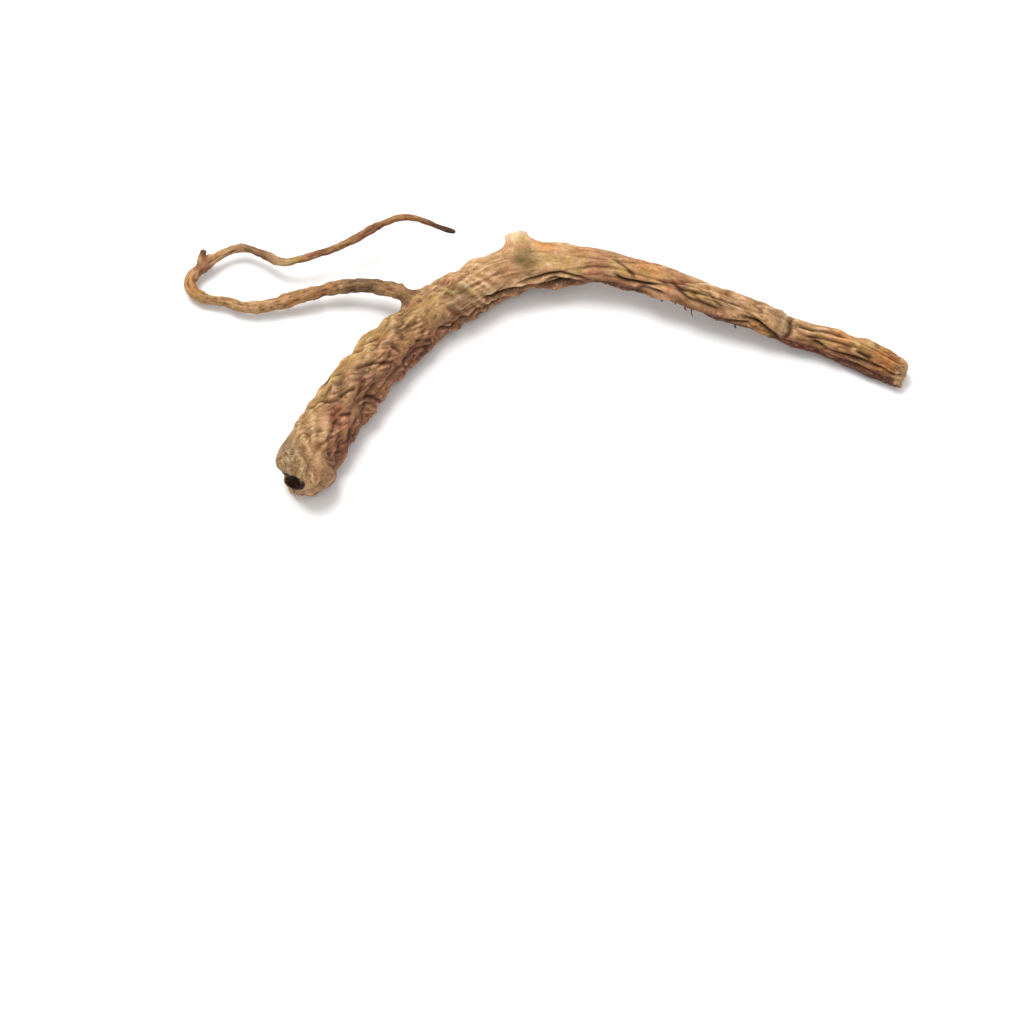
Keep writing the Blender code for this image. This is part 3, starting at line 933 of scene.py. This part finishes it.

# Painted shade blackens the hollow and fades just outside it, counted in sizes of the hollow, and lies on the
# small spot too. Bare wood shows on the three breaks, faintly on the head's.
HEAD_LENGTH = 12
HOLLOW_SHADE_FADES = (1.02, 1.16)
RIM_SHADE_STRENGTH = 0.9
RIM_SHADE_FADES = (0.5, 1)
CROWN_GRAIN_SPOT = (0, -30, 6, 9)
HEAD_BARE = 0.3
HEAD_BARE_FADES = (0.6, 2.2)
TIP_BARE_FADES = (0.6, 1.8)
STUB_BARE_FADES = (0.3, 1.4)


def standing_out(rounds):
    """How far each point stands out from its surroundings, in millimetres. More rounds look further round."""
    place, normal = np.empty((2, len(root.data.vertices) * 3))
    root.data.vertices.foreach_get("co", place)
    root.data.vertices.foreach_get("normal", normal)
    place, normal = place.reshape(-1, 3), normal.reshape(-1, 3)
    return ((place - smoothed(place, start, end, rounds)) * normal).sum(1) / MM


def add_attribute(name, values):
    kind, field = ("FLOAT_VECTOR", "vector") if values.ndim == 2 else ("FLOAT", "value")
    made = root.data.attributes.new(name, kind, "POINT")
    made.data.foreach_set(field, values.astype(np.float32).ravel())


fibre_angle = np.where(on_tap, slanted(along, angle), angle)
across = radius * share
add_attribute("fibre", np.stack([across * np.cos(fibre_angle), across * np.sin(fibre_angle), along], 1))
add_attribute("crest", np.clip(standing_out(CREST_ROUNDS) / CREST_HEIGHT, -1, 1))
add_attribute("deep", np.clip(-standing_out(DEEP_ROUNDS) / DEEP_HEIGHT, -1, 1))
skin_place = np.array([vert.co for vert in root.data.vertices]) / MM
stub_foot = np.exp(-((np.linalg.norm(skin_place - STUB_FOOT, axis=1) / STUB_FOOT_WIDTH) ** 2))
for tint, blushes in BLUSHES.items():
    amount = stub_foot if tint in STUB_FOOT_TINTS else np.zeros(len(along))
    for *mark, strength in blushes:
        amount = np.maximum(amount, strength * spot(along, angle, radius, *mark) * on_tap)
    for mark_along, half_length, strength in SIDE_BLUSHES[tint]:
        off = (along - mark_along) / half_length
        amount = np.maximum(amount, strength * np.exp(-(off**2)) * on_side)
    add_attribute(tint, amount)

# Painted shade on the tap root's low side.
low_side = np.cos(angle - math.radians(UNDERSIDE_TURN))
add_attribute("underside", fade(low_side, *UNDERSIDE_FADES) * fade(along, *UNDERSIDE_FROM) * on_tap)
add_attribute("thin_root", 1.0 * on_side)
# The dark of the creases: the creases' own brown with painted shade.
side_crease = np.maximum(0, 1 - side_furrow(along, angle) / SIDE_CREASE_WIDTH) * on_side
crease = np.where(on_tap, folded(along, angle, radius)[1], side_crease)[:, None]
crease = smoothed(crease, start, end, 1, step_softness)[:, 0] * np.where(on_tap, CREASE_REGAINED, 1)
add_attribute("crease", crease * fade(off_seam, *CREASES_FROM_SEAM))

pale = np.where(on_tap, height_at(along, PALE), height_at(along, SIDE_PALE))
pale[on_stub] = STUB_PALE + STUB_TOP_PALE * fade(along[on_stub], *STUB_TOP_FROM)
pale += TWIG_TIP_PALE * fade(along, *TWIG_TIP_FROM) * (branch_of == TWIG)
pale[branch_of >= FIRST_ROOTLET] = ROOTLET_PALE
# Painted shade: the dark low spots, and the stub's foot.
for *mark, amount in DARK_SPOTS:
    pale -= amount * spot(along, angle, radius, *mark) * on_tap
add_attribute("pale", pale - STUB_FOOT_SHADE * stub_foot)

# Painted shade in the hollow and on the small spot at its rim.
rotten = np.zeros(len(along))
for number, vert in enumerate(root.data.vertices):
    if on_tap[number] and along[number] < HEAD_LENGTH:
        inward = hollow_place.inverted() @ vert.co
        off = Vector([value / size for value, size in zip(inward, Vector(HOLLOW_SIZE) * MM)]).length
        off_spot = (vert.co / MM - Vector(RIM_SHADE_SPOT)).length / RIM_SHADE_RADIUS
        on_spot = RIM_SHADE_STRENGTH * (1 - fade(off_spot, *RIM_SHADE_FADES))
        rotten[number] = max(1 - fade(off, *HOLLOW_SHADE_FADES), on_spot)
add_attribute("rotten", rotten)
add_attribute("crown", spot(along, angle, radius, *CROWN_GRAIN_SPOT) * on_tap)
head_bare = HEAD_BARE * (1 - fade(along, *HEAD_BARE_FADES))
tip_bare = 1 - fade(tap_line.length - along, *TIP_BARE_FADES)
stub_bare = 1 - fade(stub_line.length - along, *STUB_BARE_FADES)
torn = np.maximum(on_tap * np.maximum(head_bare, tip_bare), on_stub * stub_bare)
add_attribute("torn", torn * (1 - rotten))

# The skin's colours, 0 to 255 as the eye reads them: a run from furrow to crest, and what is laid over it.
TONES = (
    (0.2, (104, 69, 45)),
    (0.38, (140, 102, 68)),
    (0.52, (168, 129, 90)),
    (0.66, (194, 152, 110)),
    (0.85, (234, 202, 164)),
)
MIDDLE_TONE = 0.52
# The underside's tint is painted shade.
UNDERSIDE_SHADE = (206, 180, 174)
THIN_ROOT_TINT = (222, 214, 196)
LIGHT_FLECK = (240, 214, 180)
DARK_FLECK = (100, 64, 40)
# The creases' dark: their own brown with painted shade.
CREASE_BROWN_AND_SHADE = (60, 34, 22)
BARE_WOOD = (196, 160, 112)
# The hollow's near black is painted shade.
PAINTED_HOLLOW_SHADE = (24, 17, 14)

# The tint and the reach of each blush.
BLUSH_TINTS = {
    "purple": ((206, 178, 178), 1.0),
    "olive": ((224, 222, 182), 0.9),
    "orange": ((250, 220, 180), 1.0),
    "grey": ((206, 214, 216), 0.9),
}

# Patches where the hue shifts a little: size in millimetres, from where to where in the noise, and the tint.
HUE_PATCHES = (
    (3.4, 0.52, 0.74, (250, 226, 216)),
    (2.9, 0.45, 0.7, (232, 238, 200)),
)

# Sizes of the grains, in millimetres: one for all ways, or one for each axis. The last axis runs along the
# fibres, except for the crown's rings, which run across the table.
STREAK = (0.55, 0.55, 2.4)
MOTTLE = 2.2
BLOTCH = 9
SPECK = 0.42
CROWN_LINE = (4, 0.4, 0.4)
FLECK = (0.5, 0.5, 1.1)
FIBRE_GRIT = (0.16, 0.16, 1.4)
DUST = 0.22

ROUGHNESS = 0.78
SHEEN_OF_SKIN = 0.35
GRIT_STRENGTH = 0.6
GRIT_HEIGHT = 0.00012


def paint(red, green, blue):
    """A colour as the eye reads it, 0 to 255, made linear."""
    return (*(((value / 255 + 0.055) / 1.055) ** 2.4 for value in (red, green, blue)), 1)


class Wire:
    """A value on its way through the skin's shader. Arithmetic on it adds Math nodes."""

    tree = None

    def __init__(self, socket):
        self.socket = socket

    @classmethod
    def node(cls, kind, settings=None, sockets=None, output=0):
        made = cls.tree.nodes.new("ShaderNode" + kind)
        for name, value in (settings or {}).items():
            if name == "stops":
                while len(made.color_ramp.elements) < len(value):
                    made.color_ramp.elements.new(0.5)
                for element, (position, color) in zip(made.color_ramp.elements, value):
                    element.position, element.color = position, color
            else:
                setattr(made, name, value)
        for name, value in (sockets or {}).items():
            if isinstance(value, Wire):
                cls.tree.links.new(value.socket, made.inputs[name])
            else:
                made.inputs[name].default_value = value
        return cls(made.outputs[output])

    @classmethod
    def maths(cls, operation, *values):
        return cls.node("Math", {"operation": operation}, dict(enumerate(values)))

    def __add__(self, other):
        return Wire.maths("ADD", self, other)

    def __sub__(self, other):
        return Wire.maths("SUBTRACT", self, other)

    def __rsub__(self, other):
        return Wire.maths("SUBTRACT", other, self)

    def __mul__(self, other):
        return Wire.maths("MULTIPLY", self, other)

    __radd__ = __add__
    __rmul__ = __mul__


def attribute(name, output=2):
    return Wire.node("Attribute", {"attribute_name": name}, output=output)


def noise_on(vector, size, detail=2.0, roughness=0.5):
    """Noise whose grains are size millimetres, given as one number or as one for each axis."""
    scale = tuple(1 / length for length in (size if isinstance(size, tuple) else (size, size, size)))
    scaled = Wire.node("VectorMath", {"operation": "MULTIPLY"}, {0: vector, 1: scale})
    sockets = {"Vector": scaled, "Scale": 1, "Detail": detail, "Roughness": roughness}
    return Wire.node("TexNoise", {}, sockets)


def between(value, low, high):
    """0 up to low, 1 from high on."""
    return Wire.node("MapRange", {"clamp": True}, {0: value, 1: low, 2: high})


def mixed(amount, under, over, blend="MIX"):
    settings = {"data_type": "RGBA", "blend_type": blend, "clamp_factor": True}
    return Wire.node("Mix", settings, {0: amount, 6: under, 7: paint(*over)}, output=2)


skin = bpy.data.materials.new("dried_skin")
skin.use_nodes = True
Wire.tree = skin.node_tree
shader = skin.node_tree.nodes["Principled BSDF"]

coordinates = Wire.node("TexCoord", output=3)
place = Wire.node("VectorMath", {"operation": "SCALE"}, {0: coordinates, "Scale": 1 / MM})
fibre = attribute("fibre", output=1)
crest, deep = attribute("crest"), attribute("deep")
streaks = noise_on(fibre, STREAK, 3)
mottle = noise_on(place, MOTTLE, 4, 0.65)
blotches = noise_on(place, BLOTCH)
specks = noise_on(place, SPECK, 2, 0.6)

# The tone: streaks, mottle, blotches and specks about a middle, with painted highlight on crests and painted
# shade in depths.
tone = MIDDLE_TONE
for texture, contrast in ((streaks, 0.4), (mottle, 0.55), (blotches, 0.3), (specks, 0.3)):
    tone = tone + contrast * (texture - 0.5)
rings = (noise_on(place, CROWN_LINE) - 0.5) * attribute("crown")
tone = tone + 0.1 * crest - 0.07 * deep + attribute("pale") + 0.9 * rings
stops = [(position, paint(*color)) for position, color in TONES]
colour = Wire.node("ValToRGB", {"stops": stops}, {0: tone})

# What is laid over it: broad tints, the underside's painted shade, flecks, and the creases' dark, partly
# painted shade.
for size, low, high, tint in HUE_PATCHES:
    colour = mixed(between(noise_on(place, size), low, high), colour, tint, "MULTIPLY")
# Painted shade darkens the tap root's low side.
colour = mixed(attribute("underside") * 0.9, colour, UNDERSIDE_SHADE, "MULTIPLY")
on_thin_root = between(attribute("thin_root") + 1.2 * (mottle - 0.5), 0.3, 1.2)
colour = mixed(on_thin_root, colour, THIN_ROOT_TINT, "MULTIPLY")
# The flecks are pale and dark fibres of the skin; the pale lean to the crests as a slight painted highlight,
# the dark to the furrows as slight painted shade.
flecks = noise_on(fibre, FLECK, 4, 0.75)
light_flecks = between(flecks + 0.05 * crest, 0.57, 0.72) * (0.55 - 0.3 * attribute("thin_root"))
colour = mixed(light_flecks, colour, LIGHT_FLECK)
dark_flecks = between(0.5 - flecks - 0.05 * crest, 0.08, 0.2)
colour = mixed(dark_flecks * 0.5, colour, DARK_FLECK)
# The creases are painted dark, their brown with painted shade, more so in the depths.
creased_brown_and_shade = between(attribute("crease") + 0.15 * deep + 0.5 * (specks - 0.5), 0.3, 1.2)
colour = mixed(creased_brown_and_shade * 0.85, colour, CREASE_BROWN_AND_SHADE)
for name, (tint, reach) in BLUSH_TINTS.items():
    blushed = between(attribute(name) + 0.9 * (mottle - 0.5), 0.12, 0.75)
    colour = mixed(blushed * reach, colour, tint, "MULTIPLY")
bare = between(attribute("torn") + 1.2 * (specks - 0.5), 0.3, 0.9)
colour = mixed(bare * 0.5, colour, BARE_WOOD)
# Painted shade blackens the hollow.
colour = mixed(attribute("rotten"), colour, PAINTED_HOLLOW_SHADE)
Wire.tree.links.new(colour.socket, shader.inputs["Base Color"])

# The crests are worn smoother, and fine grit covers everything.
rough = ROUGHNESS - 0.16 * crest + 0.12 * (specks - 0.5)
Wire.tree.links.new(rough.socket, shader.inputs["Roughness"])
grit = 0.6 * noise_on(fibre, FIBRE_GRIT, 3, 0.65) + 0.4 * noise_on(place, DUST, 3, 0.6) + 2 * rings
bump = Wire.node("Bump", {}, {"Strength": GRIT_STRENGTH, "Distance": GRIT_HEIGHT, "Height": grit})
Wire.tree.links.new(bump.socket, shader.inputs["Normal"])
shader.inputs["Specular IOR Level"].default_value = SHEEN_OF_SKIN
root.data.materials.clear()
root.data.materials.append(skin)
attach(root, "root")
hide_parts("root")

# The table: a plain white top, wide enough to fill the view from any side. It stands in a bright room, under
# a large soft light from behind and the left and a softer one from the ceiling.
TABLE_SIZE = 6
TABLE_WHITE = (0.86, 0.86, 0.86, 1)
TABLE_ROUGHNESS = 0.7
ROOM_WHITE = (1, 1, 1, 1)
ROOM_BRIGHTNESS = 0.7

bpy.ops.object.select_all(action="DESELECT")
bpy.ops.mesh.primitive_plane_add(size=TABLE_SIZE)
table = bpy.context.object
table.name = "table_top"
white = bpy.data.materials.new("white_top")
white.use_nodes = True
white_shader = white.node_tree.nodes["Principled BSDF"]
white_shader.inputs["Base Color"].default_value = TABLE_WHITE
white_shader.inputs["Roughness"].default_value = TABLE_ROUGHNESS
table.data.materials.append(white)

bpy.context.scene.view_settings.view_transform = "Standard"
world = bpy.data.worlds.new("room")
world.use_nodes = True
world.node_tree.nodes["Background"].inputs["Color"].default_value = ROOM_WHITE
world.node_tree.nodes["Background"].inputs["Strength"].default_value = ROOM_BRIGHTNESS
bpy.context.scene.world = world


def soft_light(name, place, size, power):
    """A round light that points at the middle of the table."""
    light = bpy.data.objects.new(name, bpy.data.lights.new(name, "AREA"))
    light.data.shape = "DISK"
    light.data.size = size
    light.data.energy = power
    light.location = place
    light.rotation_euler = (-Vector(place)).to_track_quat("-Z", "Y").to_euler()
    bpy.context.scene.collection.objects.link(light)


soft_light("window", place=(-0.26, 0.3, 0.92), size=0.6, power=8.5)
soft_light("ceiling", place=(0.1, -0.2, 1.2), size=1.2, power=3.0)
